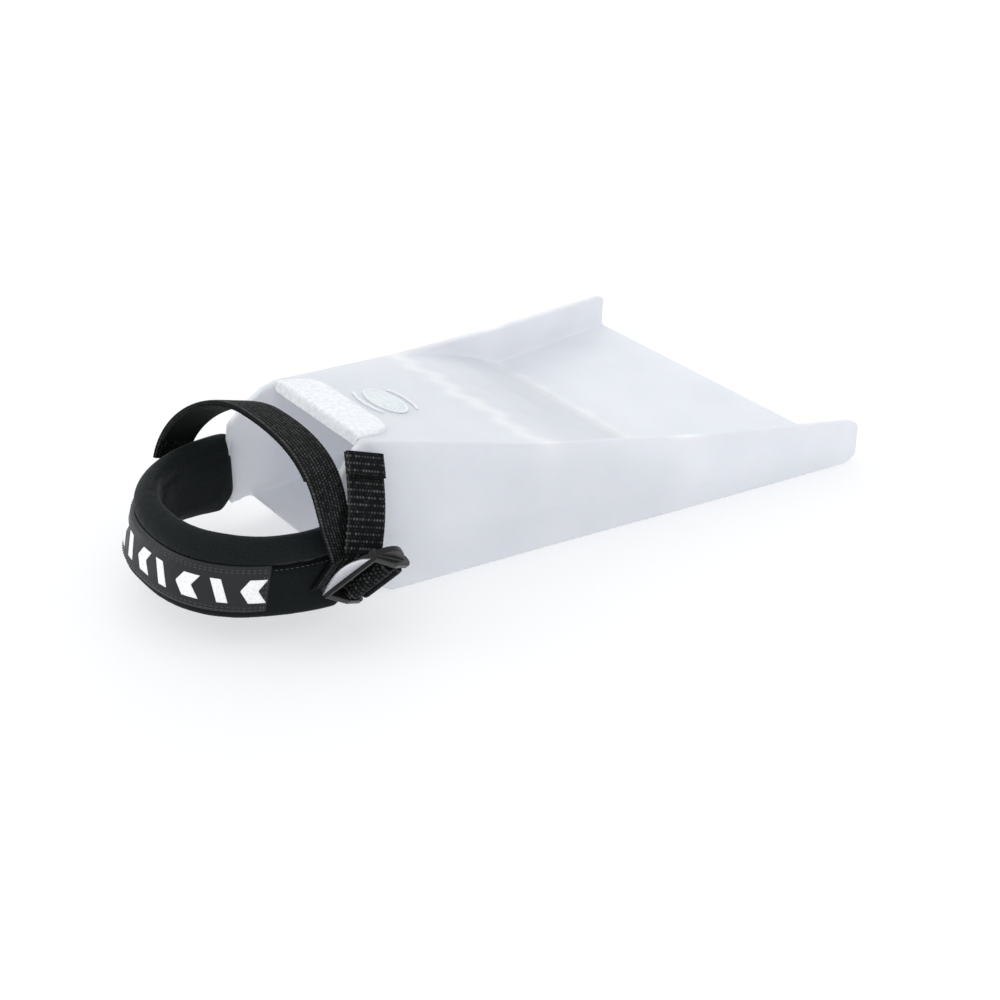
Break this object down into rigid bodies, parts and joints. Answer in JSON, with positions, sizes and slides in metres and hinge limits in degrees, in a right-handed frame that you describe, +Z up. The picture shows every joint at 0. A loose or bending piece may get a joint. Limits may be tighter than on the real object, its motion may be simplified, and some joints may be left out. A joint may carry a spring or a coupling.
{
  "type": "swim fin",
  "caption": "Short rubber swim fin with a foot pocket, raised side rails and a padded heel leash with a webbing ankle strap and ladder-lock buckle.",
  "frame": {"origin": "on the ground, under the middle of the overall box", "axes": "+X from the heel to the blade tip, +Y to the left rail, +Z up"},
  "size_m": [0.411, 0.2334, 0.1031],
  "materials": {
    "fin_rubber": "satin, slightly translucent",
    "matt_rubber": "matt",
    "foam": "closed cell foam",
    "neoprene": "brushed knit over foam rubber",
    "patch_fabric": "smooth coated",
    "white_print": "printed",
    "webbing": "woven webbing",
    "liner_tape": "smooth tape",
    "thread": "sewing thread",
    "buckle_plastic": "moulded, polished"
  },
  "bodies": {
    "fin": {"sole_plate": "fin_rubber", "blade": "fin_rubber", "side_rail_left": "fin_rubber", "side_rail_right": "fin_rubber", "vamp": "fin_rubber", "toe_ramp": "fin_rubber", "instep_lip": "matt_rubber", "emblem": "matt_rubber"},
    "heel_loop": {"heel_strap": "fin_rubber", "collar_core": "foam", "collar_roll": "neoprene", "pad_lining": "neoprene", "pad_foam": "foam", "pad_outer_panel": "neoprene", "label_patch": "patch_fabric", "label_print": "white_print", "far_anchor_webbing": "webbing", "far_bar_tack": "thread", "near_anchor_webbing": "webbing", "near_bar_tack": "thread"},
    "ankle_strap": {"ankle_webbing": "webbing", "ankle_liner": "liner_tape"},
    "buckle": {"buckle_frame": "buckle_plastic", "webbing_wrap": "webbing"},
    "tail": {"tail_webbing": "webbing", "tail_hem": "webbing"}
  },
  "joints": [
    {"name": "heel_loop_fold", "type": "hinge", "parent": "fin", "child": "heel_loop", "pos_m": [-0.1215, 0, 0.011], "axis": [0, 1, 0], "range_deg": [-25, 0], "stiffness_Nm_per_rad": 4, "springref_deg": 1.15},
    {"name": "ankle_strap_swing", "type": "hinge", "parent": "heel_loop", "child": "ankle_strap", "pos_m": [-0.1235, -0.0665, 0.044], "axis": [-0.1975, 0.9799, 0.0298], "range_deg": [-30, 4], "stiffness_Nm_per_rad": 0.05},
    {"name": "buckle_tilt", "type": "hinge", "parent": "heel_loop", "child": "buckle", "pos_m": [-0.1095, -0.0744, 0.0267], "axis": [0.6191, -0.4416, 0.6494], "range_deg": [0, 35], "stiffness_Nm_per_rad": 0.02},
    {"name": "tail_swing", "type": "hinge", "parent": "buckle", "child": "tail", "pos_m": [-0.1175, -0.0736, 0.048], "axis": [0.9211, -0.1201, -0.3704], "range_deg": [0, 45], "stiffness_Nm_per_rad": 0.01}
  ]
}
